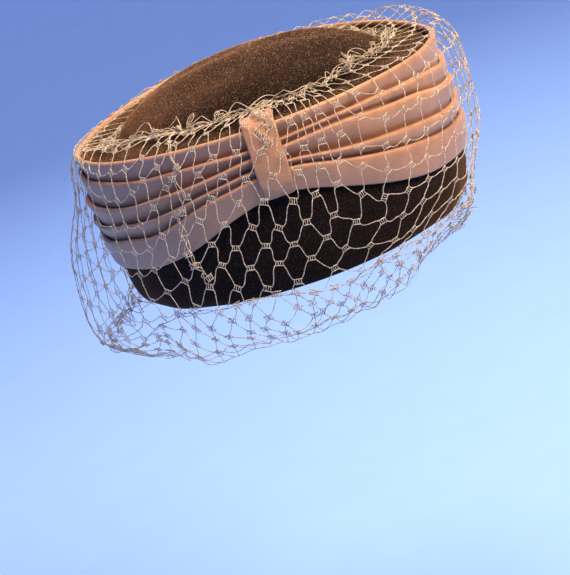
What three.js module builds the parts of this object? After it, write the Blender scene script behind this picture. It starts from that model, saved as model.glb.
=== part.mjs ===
// A veiled felt hat: a blocked felt hood, a pleated satin band, a front tab and a net veil.
// Millimetres, +Z up. The origin is the centre of the head opening, in the plane of the rim.
// The front of the hat faces -Y, and a turn round it is counted from the front towards +X.

import * as THREE from 'three';

// Driving dimensions
const OVAL = 1.05; // front-to-back radius over side-to-side radius
const SECTIONS_ROUND = 48; // sections round the hood and the band
const FELT_WALL = 2.4;
const SATIN_WALL = 2;
const PIECE_GAP = 0.4; // air between two pieces that rest on each other
const EDGE_RISE = 9.5; // how much higher the top edge stands at the back than at the front

// The hood's outside from the tip to the rim. rise is the share of the edge's rise that a row takes.
const HOOD_ROWS = [
  { name: 'tip', radius: 0, height: 103.4, rise: 0 },
  { name: 'dome', radius: 25, height: 102.2, rise: 0 },
  { name: 'dome', radius: 46, height: 98.4, rise: 0.2 },
  { name: 'dome', radius: 61, height: 92.4, rise: 0.5 },
  { name: 'dome foot', radius: 69.5, height: 86.6, rise: 0.85 },
  { name: 'crease', radius: 73, height: 80.8, rise: 1 },
  { name: 'ledge', radius: 77, height: 80, rise: 1 },
  { name: 'ledge', radius: 92.5, height: 80.2, rise: 1 },
  { name: 'ledge edge', radius: 95, height: 77.8, rise: 1 },
  { name: 'wall', radius: 95.6, height: 56, rise: 0.6 },
  { name: 'wall', radius: 95.6, height: 36, rise: 0.2 },
  { name: 'wall', radius: 95, height: 18, rise: 0 },
  { name: 'wall foot', radius: 93.6, height: 7, rise: 0 },
  { name: 'rim', radius: 91, height: 1.6, rise: 0 },
  { name: 'rim edge', radius: 89.4, height: 0, rise: 0 },
];

// The five pleats of the band. A row gives the heights of the folds below the top edge and of the
// band's foot at a turn in degrees from the front, negative on the -X side.
const BAND_TOP = 82.4; // height of the top edge at the front
const PLEAT_ROWS = [
  { turn: -180, second: 78.4, third: 63.5, fourth: 51.5, fifth: 40, foot: 25 },
  { turn: -120, second: 73.6, third: 60.5, fourth: 49.2, fifth: 39.6, foot: 24.6 },
  { turn: -90, second: 72.6, third: 59.6, fourth: 48.4, fifth: 39.6, foot: 24.6 },
  { turn: -60, second: 72.6, third: 59.2, fourth: 48.8, fifth: 41, foot: 25.2 },
  { turn: -45, second: 72.4, third: 59.6, fourth: 51.2, fifth: 43.6, foot: 26.8 },
  { turn: -30, second: 72.8, third: 63.4, fourth: 55.6, fifth: 49.2, foot: 32.8 },
  { turn: -15, second: 72.8, third: 67.3, fourth: 61, fifth: 56.2, foot: 43 },
  { turn: -7.5, second: 73.2, third: 68.6, fourth: 62.7, fifth: 58.6, foot: 46.9 },
  { turn: 0, second: 73.4, third: 69.2, fourth: 63.4, fifth: 59.4, foot: 48.7 },
  { turn: 7.5, second: 73.5, third: 69.6, fourth: 62.7, fifth: 58.7, foot: 46.6 },
  { turn: 15, second: 73.4, third: 69.6, fourth: 60.8, fifth: 55.8, foot: 42.4 },
  { turn: 30, second: 73.3, third: 68.6, fourth: 56.8, fifth: 49.4, foot: 33.8 },
  { turn: 45, second: 72.2, third: 66.3, fourth: 53.4, fifth: 45, foot: 27.6 },
  { turn: 60, second: 71, third: 63, fourth: 50.6, fifth: 41.4, foot: 25.4 },
  { turn: 90, second: 69, third: 58, fourth: 48.8, fifth: 37.6, foot: 24.4 },
  { turn: 120, second: 72, third: 60, fourth: 49.6, fifth: 38.6, foot: 24.6 },
  { turn: 180, second: 78.4, third: 63.5, fourth: 51.5, fifth: 40, foot: 25 },
];
const CRESTS = { top: 97.6, second: 100.2, third: 101.2, fourth: 101, fifth: 100.2 }; // radii
const BAND_FOOT_RADIUS = 98.2;
const BAND_FOOT_ROUND = 0.8; // rounding of the lower edge
const FOLD_REACH = 2.2; // how far a fold rolls back from its crest
const FOLD_DROP = 1.9; // how far the crest lies below the top of its fold
const PLEAT_SLACK = 1; // how far a pleat falls back below its crest
const POCKET_DEPTH = 3.1; // depth of the pocket behind a crest
const POCKET_DROP = 1.3; // how far that pocket reaches down behind its fold

// The satin loop at the front
const TAB_WIDTH = 16.4;
const TAB_WALL = 1.6;
const TAB_END_RADIUS = 79.4; // its upper end meets the gathered net
const TAB_END_HEIGHT = 84;

// The net from its gathered heading to its hem, with its radius on the four sides of the hat. It
// hangs towards -X. puff and tuft are a row's shares of the two lifts in LIFT_ROWS.
const VEIL_ROWS = {
  heading: { left: 77.6, front: 77.6, right: 77.6, back: 77.6, height: 84.6, rise: 1, puff: 0.1, tuft: 1 },
  edge: { left: 97.5, front: 98, right: 100, back: 98, height: 84.4, rise: 1, puff: 0.9, tuft: 0.9 },
  shoulder: { left: 101.4, front: 104.5, right: 112, back: 106, height: 77, rise: 0.9, puff: 1, tuft: 0 },
  knotTop: { left: 107.5, front: 108, right: 116, back: 109, height: 60, rise: 0.6, puff: 0.5, tuft: 0 },
  knotFoot: { left: 110, front: 109, right: 115, back: 110, height: 53.5, rise: 0.4, puff: 0.3, tuft: 0 },
  lowKnotTop: { left: 117.5, front: 111.5, right: 109, back: 112, height: 31, rise: 0.1, puff: 0, tuft: 0 },
  lowKnotFoot: { left: 119.5, front: 112, right: 107, back: 112, height: 24.5, rise: 0, puff: 0, tuft: 0 },
  drop: { left: 121, front: 109, right: 98, back: 108, height: 0, rise: 0, puff: 0, tuft: 0 },
  hem: { left: 108, front: 99, right: 86, back: 98, height: -19, rise: 0, puff: 0, tuft: 0 },
  hemFold: { left: 100, front: 92, right: 79, back: 91, height: -24.5, rise: 0, puff: 0, tuft: 0 },
  hemCurl: { left: 91, front: 83, right: 70, back: 82, height: -24.5, rise: 0, puff: 0, tuft: 0 },
};
// Where the net stands up: loosely at the back of the +X side, and over the tab. Degrees.
const LIFT_ROWS = [
  { name: 'puff', turn: 112, spread: 48, up: 8 },
  { name: 'tuft', turn: 0, spread: 12, up: 4.8 },
];
const GAPS_ROUND = 30; // gaps in one round of the net
const STRAND_HALF_WIDTH = 1.4;
const NET_WALL = 1.2;
const HEM_WALL = 2.4; // the curled hem is several layers thick
const HEADING_ROLL = 2.5; // radius of the bunched heading
const HEADING_RADIUS = 75;
const HEADING_HEIGHT = 83.4;
const GATHER_SWELL = [1, 0.62, 0.86, 0.55]; // sizes of neighbouring bunches in the heading
const ROLL_ANGLES = [-75, -130, -185, -240, -295]; // points round the heading, in degrees

// The rows of gaps in the net, with a gap's corners clockwise from outside: a row of VEIL_ROWS and
// a number of half gaps from the middle. shift moves a row round by half a gap.
const GAP_ROWS = [
  {
    shift: 0,
    corners: [
      ['heading', -1], ['heading', 0], ['heading', 1], ['edge', 1],
      ['shoulder', 1], ['knotTop', 0], ['shoulder', -1], ['edge', -1],
    ],
  },
  {
    shift: 1,
    corners: [
      ['shoulder', 0], ['knotTop', 1], ['knotFoot', 1],
      ['lowKnotTop', 0], ['knotFoot', -1], ['knotTop', -1],
    ],
  },
  {
    shift: 0,
    corners: [
      ['knotFoot', 0], ['lowKnotTop', 1], ['lowKnotFoot', 1],
      ['drop', 0], ['lowKnotFoot', -1], ['lowKnotTop', -1],
    ],
  },
  {
    shift: 1,
    corners: [
      ['lowKnotFoot', 0], ['drop', 1], ['hem', 1],
      ['hem', 0], ['hem', -1], ['drop', -1],
    ],
  },
];

// Looks
const FELT_LOOK = { color: 0x4a3020, roughness: 0.95, metalness: 0 };
const SATIN_LOOK = { color: 0xb98a6e, roughness: 0.45, metalness: 0 };
const NET_LOOK = { color: 0xb59a7c, roughness: 0.8, metalness: 0 };

const { degToRad, radToDeg, euclideanModulo, clamp, lerp } = THREE.MathUtils;

// Tables and places

// The rise of the top edge, which is level round the front half
function edgeRise(turn) {
  return EDGE_RISE * Math.min(Math.cos(turn), 0) ** 2;
}

function toPoint(turn, radius, height) {
  return [radius * Math.sin(turn), -radius * Math.cos(turn) * OVAL, height];
}

// Degrees from the front, negative on the -X side
function degreesFromFront(turn) {
  return euclideanModulo(radToDeg(turn) + 180, 360) - 180;
}

// One column of a table at a place along another, straight between rows in rising order
function lookUp(rows, along, column, place) {
  let row = 0;
  while (row < rows.length - 2 && rows[row + 1][along] < place) row += 1;
  const [low, high] = [rows[row], rows[row + 1]];
  const share = clamp((place - low[along]) / (high[along] - low[along]), 0, 1);
  return lerp(low[column], high[column], share);
}

// A profile moved back by the thickness of its wall. It runs outwards from the tip and then down.
function moveBack(rows, wall) {
  return rows.map((row, index) => {
    const before = rows[Math.max(index - 1, 0)];
    const after = rows[Math.min(index + 1, rows.length - 1)];
    const along = new THREE.Vector2(after.radius - before.radius, after.height - before.height);
    along.normalize();
    const radius = row.radius === 0 ? 0 : row.radius + wall * along.y;
    return { ...row, radius, height: row.height - wall * along.x };
  });
}

// Surfaces

class Skin {
  constructor() {
    this.points = [];
    this.triangles = [];
    this.known = new Map();
  }

  // The number of a point, made once for each key
  point(key, make) {
    if (!this.known.has(key)) {
      this.known.set(key, this.points.length);
      this.points.push(make());
    }
    return this.known.get(key);
  }

  // A face of three or four corners, counter-clockwise from outside. Corners that are one point
  // make it a triangle.
  face(...corners) {
    const own = corners.filter((corner, index) => corner !== corners.at(index - 1));
    this.triangles.push([own[0], own[1], own[2]]);
    if (own.length === 4) this.triangles.push([own[0], own[2], own[3]]);
  }

  // Faces between sections that follow each other round the hat and run down its outside
  round(sections) {
    sections.forEach((section, index) => {
      const next = sections[(index + 1) % sections.length];
      for (let k = 0; k + 1 < section.length; k += 1) {
        this.face(section[k], section[k + 1], next[k + 1], next[k]);
      }
    });
  }

  geometry() {
    const geometry = new THREE.BufferGeometry();
    geometry.setAttribute('position', new THREE.Float32BufferAttribute(this.points.flat(), 3));
    geometry.setIndex(this.triangles.flat());
    geometry.computeVertexNormals();
    return geometry;
  }
}

function turnsRound(count) {
  return Array.from({ length: count }, (_, index) => (index / count) * 2 * Math.PI);
}

// A wall whose section at each turn is a run of radius and height. A point on the axis is shared.
function wallRound(sectionAt) {
  const skin = new Skin();
  const sections = turnsRound(SECTIONS_ROUND).map((turn, at) => sectionAt(turn).map((row, index) => (
    skin.point(row.radius === 0 ? `axis ${index}` : `${at} ${index}`,
      () => toPoint(turn, row.radius, row.height))
  )));
  const closed = sections[0][0] !== sections[1][0];
  skin.round(closed ? sections.map((section) => [...section, section[0]]) : sections);
  return skin.geometry();
}

// The felt hood

function raised(rows, turn) {
  return rows.map((row) => ({ ...row, height: row.height + row.rise * edgeRise(turn) }));
}

function hoodSection(turn) {
  const inside = moveBack(HOOD_ROWS, FELT_WALL).slice(0, -1).reverse();
  return raised([...HOOD_ROWS, ...inside], turn);
}

// The outside of the hood's side wall at a height
function hoodRadius(turn, height) {
  const foot = HOOD_ROWS.findIndex((row) => row.name === 'ledge edge');
  const wall = raised(HOOD_ROWS.slice(foot), turn).reverse();
  return lookUp(wall, 'height', 'radius', height);
}

// The pleated band

function bandTop(turn) {
  return BAND_TOP + edgeRise(turn);
}

function bandFoot(turn) {
  return lookUp(PLEAT_ROWS, 'turn', 'foot', degreesFromFront(turn));
}

// The folds of the pleats at a turn, top to bottom, as the height and the radius of each crest
function foldsAt(turn) {
  return Object.entries(CRESTS).map(([fold, crest]) => ({
    crest,
    height: fold === 'top'
      ? bandTop(turn)
      : lookUp(PLEAT_ROWS, 'turn', fold, degreesFromFront(turn)),
  }));
}

function bandSection(turn) {
  const folds = foldsAt(turn);
  const foot = bandFoot(turn);
  const outside = folds.flatMap(({ crest, height }, index) => {
    const below = folds[index + 1];
    const end = below ? below.height : foot;
    const rolled = [
      { radius: crest - FOLD_REACH, height },
      { radius: crest, height: height - FOLD_DROP },
      { radius: crest - PLEAT_SLACK, height: (height - FOLD_DROP + end) / 2 },
    ];
    if (!below) return rolled;
    return [...rolled, { radius: below.crest - POCKET_DEPTH, height: end - POCKET_DROP }];
  });
  const edge = [
    { radius: BAND_FOOT_RADIUS, height: foot + BAND_FOOT_ROUND },
    { radius: BAND_FOOT_RADIUS - BAND_FOOT_ROUND, height: foot },
    { radius: BAND_FOOT_RADIUS - SATIN_WALL, height: foot + BAND_FOOT_ROUND },
  ];
  const inside = folds.map(({ height }) => ({
    radius: hoodRadius(turn, height) + PIECE_GAP,
    height: height - FOLD_DROP,
  })).reverse();
  return [...outside, ...edge, ...inside];
}

// The front tab

function bandTab() {
  const folds = foldsAt(0);
  const top = folds[0];
  const foot = bandFoot((2 * Math.PI) / SECTIONS_ROUND);
  const inside = [
    { radius: TAB_END_RADIUS, height: TAB_END_HEIGHT },
    { radius: top.crest - FOLD_REACH, height: top.height + PIECE_GAP },
    ...folds.map(({ crest, height }) => ({
      radius: crest + PIECE_GAP,
      height: height - FOLD_DROP + PIECE_GAP,
    })),
    { radius: BAND_FOOT_RADIUS + PIECE_GAP, height: foot },
    { radius: hoodRadius(0, foot) + PIECE_GAP, height: foot - PIECE_GAP },
  ];
  const outside = moveBack(inside, -TAB_WALL).reverse();
  const outline = [...inside, ...outside].map(({ radius, height }) => (
    new THREE.Vector2(radius * OVAL, height)
  ));
  return new THREE.ExtrudeGeometry(new THREE.Shape(outline), {
    depth: TAB_WIDTH,
    bevelEnabled: false,
  });
}

// The net veil

const HALF_GAPS = 2 * GAPS_ROUND;

// VEIL_ROWS with the distance along the net from its heading
const veilRows = Object.entries(VEIL_ROWS).reduce((rows, [name, row]) => {
  const last = rows.at(-1) ?? { ...row, along: 0 };
  const step = Math.hypot(row.front - last.front, row.height - last.height);
  return [...rows, { ...row, name, along: last.along + step }];
}, []);

function alongOf(name) {
  return veilRows.find((row) => row.name === name).along;
}

function halfGapWidth(along) {
  return (lookUp(veilRows, 'along', 'front', along) * Math.PI) / GAPS_ROUND;
}

// The net's radius at a turn, blended between the four sides
function veilRadius(turn, along) {
  const [ahead, aside] = [Math.cos(turn), Math.sin(turn)];
  const column = (name) => lookUp(veilRows, 'along', name, along);
  return column(ahead > 0 ? 'front' : 'back') * ahead ** 2
    + column(aside > 0 ? 'right' : 'left') * aside ** 2;
}

// How far the net stands up at a turn
function veilLift(turn, along) {
  return LIFT_ROWS.reduce((sum, lift) => {
    const off = degreesFromFront(turn - degToRad(lift.turn)) / lift.spread;
    return sum + lookUp(veilRows, 'along', lift.name, along) * lift.up * Math.exp(-off * off);
  }, 0);
}

// A point of the net: half gaps round from the front, distance along it, and depth below its face
function veilPoint(halfGaps, along, depth) {
  const turn = (halfGaps * Math.PI) / GAPS_ROUND;
  const height = (place) => lookUp(veilRows, 'along', 'height', place);
  const down = new THREE.Vector2(
    veilRadius(turn, along + 1) - veilRadius(turn, along - 1),
    height(along + 1) - height(along - 1),
  ).normalize();
  const up = veilLift(turn, along) + lookUp(veilRows, 'along', 'rise', along) * edgeRise(turn);
  return toPoint(turn, veilRadius(turn, along) + depth * down.y, height(along) + up - depth * down.x);
}

// The corners of a gap moved inwards by half a strand, as half gaps and distances along the net
function gapCorners(corners) {
  const flat = corners.map(([name, offset]) => (
    new THREE.Vector2(offset * halfGapWidth(alongOf(name)), alongOf(name))
  ));
  return flat.map((corner, index) => {
    const normals = [flat.at(index - 1), flat[(index + 1) % flat.length]].map((other, side) => {
      const edge = side === 0 ? corner.clone().sub(other) : other.clone().sub(corner);
      return new THREE.Vector2(-edge.y, edge.x).normalize();
    });
    const [before, after] = normals;
    const reach = STRAND_HALF_WIDTH / (1 + before.dot(after));
    const moved = corner.clone().addScaledVector(before.add(after), reach);
    return [moved.x / halfGapWidth(moved.y), moved.y];
  });
}

function addGap(skin, corners, middle, label) {
  const cut = gapCorners(corners);
  const faces = [0, NET_WALL].map((depth) => ({
    edge: corners.map(([name, offset]) => {
      const place = euclideanModulo(middle + offset, HALF_GAPS);
      return skin.point(`${name} ${place} ${depth}`, () => veilPoint(place, alongOf(name), depth));
    }),
    gap: cut.map(([offset, along], index) => (
      skin.point(`${label} ${index} ${depth}`, () => veilPoint(middle + offset, along, depth))
    )),
  }));
  const [outer, inner] = faces;
  corners.forEach((_, k) => {
    const next = (k + 1) % corners.length;
    skin.face(outer.edge[next], outer.edge[k], outer.gap[k], outer.gap[next]);
    skin.face(inner.edge[k], inner.edge[next], inner.gap[next], inner.gap[k]);
    skin.face(outer.gap[next], outer.gap[k], inner.gap[k], inner.gap[next]);
  });
}

// The bunched heading, a roll in the crease, from the underside of the net to its face
function addHeading(skin) {
  const along = alongOf('heading');
  skin.round(turnsRound(HALF_GAPS).map((turn, place) => {
    const roll = HEADING_ROLL * GATHER_SWELL[place % GATHER_SWELL.length];
    const rolled = ROLL_ANGLES.map((angle) => skin.point(`roll ${place} ${angle}`, () => toPoint(
      turn,
      HEADING_RADIUS + roll * Math.cos(degToRad(angle)),
      HEADING_HEIGHT + roll * Math.sin(degToRad(angle)) + edgeRise(turn) + veilLift(turn, along),
    )));
    const [face, under] = [0, NET_WALL].map((depth) => (
      skin.point(`heading ${place} ${depth}`, () => veilPoint(place, along, depth))
    ));
    return [under, ...rolled, face];
  }));
}

// The lower edge of the net, from its face to its underside
function closeLowerEdge(skin) {
  skin.round(turnsRound(HALF_GAPS).map((_, place) => [0, NET_WALL].map((depth) => (
    skin.point(`hem ${place} ${depth}`, () => veilPoint(place, alongOf('hem'), depth))
  ))));
}

function netVeil() {
  const skin = new Skin();
  GAP_ROWS.forEach(({ shift, corners }, row) => {
    for (let gap = 0; gap < GAPS_ROUND; gap += 1) {
      addGap(skin, corners, 2 * gap + shift, `gap ${row} ${gap}`);
    }
  });
  addHeading(skin);
  closeLowerEdge(skin);
  return skin.geometry();
}

// The curled hem, which goes on from the lower edge of the net
function netHem() {
  const skin = new Skin();
  const top = alongOf('hem') + PIECE_GAP;
  const [fold, curl] = [alongOf('hemFold'), alongOf('hemCurl')];
  const rows = [[top, 0], [fold, 0], [curl, 0], [curl, HEM_WALL], [fold, HEM_WALL], [top, NET_WALL]];
  skin.round(turnsRound(HALF_GAPS).map((_, place) => [...rows, rows[0]].map(([along, depth]) => (
    skin.point(`${place} ${along} ${depth}`, () => veilPoint(place, along, depth))
  ))));
  return skin.geometry();
}

// The hat

function piece(name, geometry, look) {
  const mesh = new THREE.Mesh(geometry, new THREE.MeshStandardMaterial(look));
  mesh.name = name;
  return mesh;
}

const tab = piece('band_tab', bandTab(), SATIN_LOOK);
// The tab's outline is drawn with the front to the right and up as up, and its width runs to -X.
tab.quaternion.setFromRotationMatrix(new THREE.Matrix4().makeBasis(
  new THREE.Vector3(0, -1, 0),
  new THREE.Vector3(0, 0, 1),
  new THREE.Vector3(-1, 0, 0),
));
tab.position.x = TAB_WIDTH / 2;

const hat = new THREE.Group();
hat.add(
  piece('felt_hood', wallRound(hoodSection), FELT_LOOK),
  piece('pleated_band', wallRound(bandSection), SATIN_LOOK),
  tab,
  piece('net_veil', netVeil(), NET_LOOK),
  piece('net_hem', netHem(), NET_LOOK),
);

export default hat;
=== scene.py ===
"""Dresses a veiled felt hat: velour felt, folded satin and a knotted net, with its stage and camera."""

import math
from collections import namedtuple

import bmesh
import bpy
import numpy as np
from bpy.props import FloatProperty, FloatVectorProperty, IntProperty, PointerProperty
from mathutils import Matrix


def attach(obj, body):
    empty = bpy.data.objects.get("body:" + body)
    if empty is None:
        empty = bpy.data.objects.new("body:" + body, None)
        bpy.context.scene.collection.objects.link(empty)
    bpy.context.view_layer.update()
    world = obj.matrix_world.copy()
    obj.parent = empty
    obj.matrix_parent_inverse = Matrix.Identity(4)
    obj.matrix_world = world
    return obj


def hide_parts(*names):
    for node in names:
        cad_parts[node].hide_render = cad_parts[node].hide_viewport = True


bl_info = {
    "name": "Veiled felt hat",
    "version": (1, 0, 0),
    "blender": (4, 5, 0),
    "location": "3D View > Sidebar > Hat",
    "description": "Dresses the packed solids of a veiled hat with felt, satin and net",
    "category": "Object",
}

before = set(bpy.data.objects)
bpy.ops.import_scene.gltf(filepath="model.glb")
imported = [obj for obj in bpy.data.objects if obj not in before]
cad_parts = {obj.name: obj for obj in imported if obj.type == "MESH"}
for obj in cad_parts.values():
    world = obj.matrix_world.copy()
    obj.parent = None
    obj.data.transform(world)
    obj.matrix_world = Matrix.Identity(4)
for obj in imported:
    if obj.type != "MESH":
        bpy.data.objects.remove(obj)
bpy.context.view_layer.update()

# Lengths in this file are in millimetres, and properties and meshes are in metres.
MM = 0.001
BODY = "root"

# The form that the pieces share with the solids. Radii are those of the sides of the oval.
OVAL = 1.05
EDGE_RISE = 9.5  # how much higher the top edge stands at the back

# The folds of the band: their heights at a turn in degrees from the front, negative towards -X
PleatRow = namedtuple("PleatRow", "turn second third fourth fifth foot")
PLEAT_ROWS = [
    PleatRow(-180, 78.4, 63.5, 51.5, 40, 25),
    PleatRow(-120, 73.6, 60.5, 49.2, 39.6, 24.6),
    PleatRow(-90, 72.6, 59.6, 48.4, 39.6, 24.6),
    PleatRow(-60, 72.6, 59.2, 48.8, 41, 25.2),
    PleatRow(-45, 72.4, 59.6, 51.2, 43.6, 26.8),
    PleatRow(-30, 72.8, 63.4, 55.6, 49.2, 32.8),
    PleatRow(-15, 72.8, 67.5, 61.4, 57, 43),
    PleatRow(-7.5, 73.3, 69.1, 63.4, 60, 46.9),
    PleatRow(0, 74.4, 70.2, 63.8, 60, 48.7),
    PleatRow(7.5, 75, 71, 63, 58.9, 46.6),
    PleatRow(15, 75.1, 71.1, 61, 55.8, 42.4),
    PleatRow(30, 75.1, 70, 56.8, 49.4, 33.8),
    PleatRow(45, 73.6, 67.3, 53.4, 45, 27.6),
    PleatRow(60, 71, 63, 50.6, 41.4, 25.4),
    PleatRow(90, 69, 58, 48.8, 37.6, 24.4),
    PleatRow(120, 72, 60, 49.6, 38.6, 24.6),
    PleatRow(180, 78.4, 63.5, 51.5, 40, 25),
]
BAND_TOP = 82.4
CREST_RADII = (97.6, 100.8, 102, 101.8, 101.6)  # of the five folds, top to bottom
FOOT_RADIUS = 98.2
BACK_RADIUS = 96.6  # of the back of the pockets, just clear of the felt

# The net from its heading to its turned-in hem: its radius on the four sides, its height, and how much
# it takes part in the rise of the edge, in each lift and in the bulge
NetRow = namedtuple("NetRow", "name left front right back height rise puff tuft hitch stand bulge")
NET_ROWS = [
    NetRow("heading", 76, 76, 76, 76, 86, 1, 0.1, 0.1, 0, 0, 0),
    NetRow("brow", 93, 91, 91, 90, 84.4, 1, 0.5, 0.5, 0, 1, 0),
    NetRow("edge", 97, 98.8, 98.6, 96.8, 83.3, 1, 0.9, 0.9, 0, 0.15, 0),
    NetRow("shoulder", 100.8, 104.5, 106, 106, 77, 0.9, 1, 0, 0, 0, 0),
    NetRow("upper side", 104, 108, 109, 109, 60, 0.6, 0.5, 0, 0, 0, 0.1),
    NetRow("side", 106, 109, 109, 110, 53.5, 0.4, 0.3, 0, 0, 0, 0.2),
    NetRow("lower side", 113, 111.5, 108, 106, 31, 0.1, 0, 0, 0.1, 0, 0.6),
    NetRow("low side", 114.5, 112, 106, 105, 24.5, 0, 0, 0, 0.2, 0, 0.7),
    NetRow("drop", 116, 109, 96, 101, 0, 0, 0, 0, 0.6, 0, 1),
    NetRow("hem", 106, 99, 84, 94, -19, 0, 0, 0, 1, 0, 1),
    NetRow("hem fold", 100, 92, 78, 91, -24.5, 0, 0, 0, 1, 0, 1),
    NetRow("hem curl", 91, 83, 70, 82, -23.5, 0, 0, 0, 1, 0, 1),
]
# The bunch that the net is gathered into: where it lies round the tip, at a turn in degrees
Bend = namedtuple("Bend", "turn radius height")
BENDS = [
    Bend(-180, 75, 82), Bend(-104, 75, 82), Bend(-74, 81, 82.8), Bend(-43, 73, 86.4), Bend(-25, 76.5, 86),
    Bend(0, 80.5, 86.9), Bend(25, 76.5, 86), Bend(45, 71.5, 87.4), Bend(70, 74, 86), Bend(100, 76, 84),
    Bend(180, 75, 82),
]
# Where the net is raised: the column of its rows, a turn in degrees, a spread, and how far
Lift = namedtuple("Lift", "name turn spread up")
LIFTS = [
    Lift("puff", 108, 38, 8), Lift("tuft", 0, 12, 4.8), Lift("hitch", 52, 42, 11.5),
    Lift("hitch", -138, 40, 8), Lift("stand", -48, 36, 3.8),
]
BULGE = Lift("bulge", -84, 26, 5)  # where the net stands out sideways, and how far
NET_RADIUS = 112.8  # the radius at which a distance round the net is measured

# How the two families of threads slant from straight down, in degrees, counted in knots from the
# knot near the front that is given below. One family leans right and the other left.
Slant = namedtuple("Slant", "knot degrees")
RIGHT_SLANTS = [
    Slant(-14, 4), Slant(-4, 8), Slant(-1, 13), Slant(2, 18), Slant(3, 34), Slant(4, 54),
    Slant(5, 74), Slant(6, 90), Slant(9, 90), Slant(14, 80), Slant(45, 80),
]
LEFT_SLANTS = [
    Slant(-30, 14), Slant(-8, 20), Slant(-5, 26), Slant(-3, 44), Slant(0, 49),
    Slant(2, 52), Slant(3, 58), Slant(4, 72), Slant(5, 92), Slant(6, 98), Slant(9, 96), Slant(13, 89),
    Slant(45, 89),
]
FIRST_KNOT = (-27, 74.7)  # round the net from the front, and along it from its heading
KNOT_WRAPS = (-0.72, -0.26, 0.22, 0.7)  # places of the wraps across a knot
WRAP_SLIPS = (-0.05, 0.12)  # how far every other wrap slants
WRAP_REACH = 1.1  # how far a wrap goes past the middle of a bar
WRAP_WIDTH = 0.85  # widths of a wrap and a bar, in threads
BAR_WIDTH = 1.1

# Where the regular meshes end, above the crumpled ones: turn in degrees, and distance along the net
LAST_MESHES = [
    (-180, 112), (-90, 125), (-60, 122), (-45, 110), (-30, 102), (-10, 104), (0, 109), (17, 112),
    (45, 113), (90, 114), (180, 112),
]

Crowd = namedtuple("Crowd", "turn spread taller")
Spike = namedtuple("Spike", "turn up lean")
Strand = namedtuple("Strand", "share count stray")
Fold = namedtuple("Fold", "seed count stray line clumps")
Lamp = namedtuple("Lamp", "name place target size power tint")


def linear(hex_colour):
    """An sRGB hex colour as linear red, green and blue."""
    parts = [int(hex_colour[i:i + 2], 16) / 255 for i in (1, 3, 5)]
    return tuple(c / 12.92 if c <= 0.04045 else ((c + 0.055) / 1.055) ** 2.4 for c in parts)


def length(name, description, millimetres):
    """A property for a length, given in millimetres."""
    return FloatProperty(
        name=name, description=description, default=millimetres * MM,
        unit="LENGTH", subtype="DISTANCE", precision=5,
    )


def colour(name, description, hex_colour):
    """A property for a colour, given as sRGB hex."""
    return FloatVectorProperty(
        name=name, description=description, default=linear(hex_colour),
        subtype="COLOR", size=3, min=0, max=1,
    )


class FeltSettings(bpy.types.PropertyGroup):
    """Sizes and colours of the felt hood."""

    # Painted shade: the ground is the darker tone laid where the nap's bump sinks, standing in for the
    # shade between the tufts.
    ground: colour("Ground", "Felt seen between the fibres of the nap", "#080504")
    nap: colour("Nap", "Tips of the brushed fibres", "#1a0f09")
    fleck: colour("Fleck", "Stray pale fibres that catch the light", "#4d3a2a")
    bloom: colour("Bloom", "Light that the nap scatters at a glancing angle", "#d8965f")
    fibre: length("Fibre", "Width of a tuft of nap", 0.8)
    dents: length("Dents", "How far the blocked felt departs from a true form", 0.3)
    fibre_dark: colour("Dark fibre", "Stray fibres of the wool's own brown", "#75502f")
    fibre_pale: colour("Pale fibre", "Stray undyed fibres", "#c39a76")
    fibre_length: length("Fibre length", "How long a stray fibre is", 0.9)
    fibres: IntProperty(name="Fibres", description="Stray fibres that stand up from the top", default=26000)


class SatinSettings(bpy.types.PropertyGroup):
    """Sizes and colours of the satin band and its tab."""

    face: colour("Face", "Satin that faces the light", "#c08a5f")
    shade: colour("Shade", "Satin across its weave", "#ab7752")
    cloth: length("Cloth", "Thickness of the satin", 0.4)
    lip: length("Lip", "Radius of the rolled edge of a slack fold", 1.3)
    full_lip: length("Full lip", "Radius of the rolled edge of a full fold", 1.8)
    pocket: length("Pocket", "How deep a fold goes behind the next one", 4.2)
    wave: length("Wave", "How far a fold wanders up and down", 0.35)
    tab_width: length("Tab width", "Width of the front tab", 16.4)


class NetSettings(bpy.types.PropertyGroup):
    """Sizes and colours of the net veil."""

    thread_colour: colour("Thread", "Net yarn", "#d6c09f")
    # Painted shade: this darker yarn tone stands in for the shade in the hollows between the plies.
    yarn_painted_shade: colour("Yarn shade", "Hollows between the plies of the yarn", "#8a7453")
    mesh: length("Mesh", "Length of thread from knot to knot", 12.5)
    thread: length("Thread width", "Width of a thread", 0.4)
    knot_width: length("Knot width", "Width of a wrapped knot", 4.5)
    knot_height: length("Knot height", "Height of a wrapped knot", 2.5)
    strands: IntProperty(name="Strands", description="Threads in the gathered heading", default=4)
    loops: IntProperty(name="Loops", description="Loose loops along the heading", default=64)


class StageSettings(bpy.types.PropertyGroup):
    """Floor and lights."""

    floor: colour("Floor", "Light blue studio floor", "#93b5f2")
    key: colour("Key light", "Warm soft light from above", "#ffeedc")
    fill: colour("Fill light", "Cool soft light from the -X side", "#5f92ff")
    back: colour("Floor light", "Broad lights on the back of the floor and on its rim", "#fff6ea")
    drop: length("Floor drop", "Height of the hat's rim above the floor", 330)


SETTINGS = {"felt": FeltSettings, "satin": SatinSettings, "net": NetSettings, "stage": StageSettings}


def settings(name):
    """One group of the hat's settings."""
    return getattr(bpy.context.scene, "hat_" + name)


# Curves and places


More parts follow.
